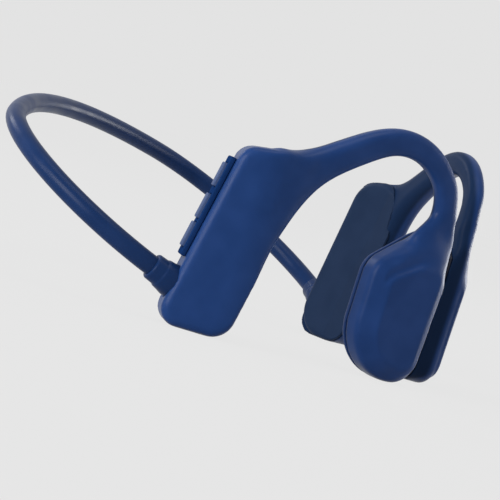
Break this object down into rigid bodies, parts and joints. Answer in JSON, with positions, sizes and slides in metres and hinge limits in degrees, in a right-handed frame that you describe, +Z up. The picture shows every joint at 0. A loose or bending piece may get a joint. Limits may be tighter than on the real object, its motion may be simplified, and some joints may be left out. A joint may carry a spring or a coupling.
{
  "type": "bone conduction headphones",
  "caption": "Open-ear bone conduction headphones: two ear hooks with driver pods and rear boxes, joined by a springy neckband, with side keys on the right box.",
  "frame": {"origin": "centre of the bounding box in plan, at the lowest point of the pods and boxes", "axes": "+X to the wearer's front, +Y to the wearer's left, +Z up"},
  "size_m": [0.109, 0.1356, 0.0554],
  "materials": {
    "soft_shell": "soft touch, dark blue",
    "inner_cover": "matt, slate blue",
    "contact_pad": "matt silicone, dark blue",
    "band_skin": "silicone, dark blue",
    "key_cap": "matt, dark blue",
    "trim": "matt, darkest blue",
    "seal": "matt black",
    "spring_steel": "bright",
    "magnet_plating": "nickel plated",
    "yoke_steel": "machined",
    "coil_copper": "enamelled copper",
    "gilt": "gold plated",
    "board_green": "solder mask",
    "cell_foil": "foil pouch",
    "foam": "foam",
    "lens": "translucent white",
    "lead_skin": "insulated lead"
  },
  "bodies": {
    "right_half": {"board_screws": "yoke_steel", "button_bezel": "trim", "button_membrane": "seal", "button_switches": "board_green", "charge_pins": "gilt", "charge_socket": "trim", "main_board": "board_green", "microphone": "yoke_steel", "microphone_mesh": "trim", "neckband_cable": "lead_skin", "neckband_sleeve_right": "band_skin", "neckband_wire": "spring_steel", "right_arm_shell": "soft_shell", "right_band_collar": "band_skin", "right_box_cover": "inner_cover", "right_driver_coil": "coil_copper", "right_driver_leads": "lead_skin", "right_driver_plate": "trim", "right_driver_spring": "spring_steel", "right_hook_wire": "spring_steel", "right_pod_cap": "contact_pad", "right_pod_gasket": "seal", "status_light": "lens"},
    "left_half": {"battery_board": "board_green", "battery_cell": "cell_foil", "battery_pad": "foam", "left_arm_shell": "soft_shell", "left_band_collar": "band_skin", "left_box_cover": "inner_cover", "left_driver_coil": "coil_copper", "left_driver_leads": "lead_skin", "left_driver_plate": "trim", "left_driver_spring": "spring_steel", "left_hook_wire": "spring_steel", "left_pod_cap": "contact_pad", "left_pod_gasket": "seal", "neckband_sleeve_left": "band_skin"},
    "power_key": {"power_button": "key_cap"},
    "volume_up_key": {"volume_up_button": "key_cap"},
    "volume_down_key": {"volume_down_button": "key_cap"},
    "right_armature": {"right_driver_yoke": "yoke_steel", "right_driver_magnet": "magnet_plating"},
    "left_armature": {"left_driver_yoke": "yoke_steel", "left_driver_magnet": "magnet_plating"}
  },
  "joints": [
    {"name": "neckband_flex", "type": "hinge", "parent": "right_half", "child": "left_half", "pos_m": [-0.05225, 0, 0.03693], "axis": [0.421, 0, 0.907], "range_deg": [-3, 20], "stiffness_Nm_per_rad": 0.35, "deforming": ["neckband_wire", "neckband_cable"]},
    {"name": "power_press", "type": "slide", "parent": "right_half", "child": "power_key", "axis": [0.8679, 0.4615, -0.184], "range_m": [0, 0.0003], "stiffness_N_per_m": 1000},
    {"name": "volume_up_press", "type": "slide", "parent": "right_half", "child": "volume_up_key", "axis": [0.8679, 0.4615, -0.184], "range_m": [0, 0.0003], "stiffness_N_per_m": 1000},
    {"name": "volume_down_press", "type": "slide", "parent": "right_half", "child": "volume_down_key", "axis": [0.8679, 0.4615, -0.184], "range_m": [0, 0.0003], "stiffness_N_per_m": 1000},
    {"name": "right_driver_stroke", "type": "slide", "parent": "right_half", "child": "right_armature", "axis": [-0.7986, 0.6018, 0], "range_m": [-0.00015, 0.00015], "stiffness_N_per_m": 1500},
    {"name": "left_driver_stroke", "type": "slide", "parent": "left_half", "child": "left_armature", "axis": [-0.7986, -0.6018, 0], "range_m": [-0.00015, 0.00015], "stiffness_N_per_m": 1500}
  ]
}
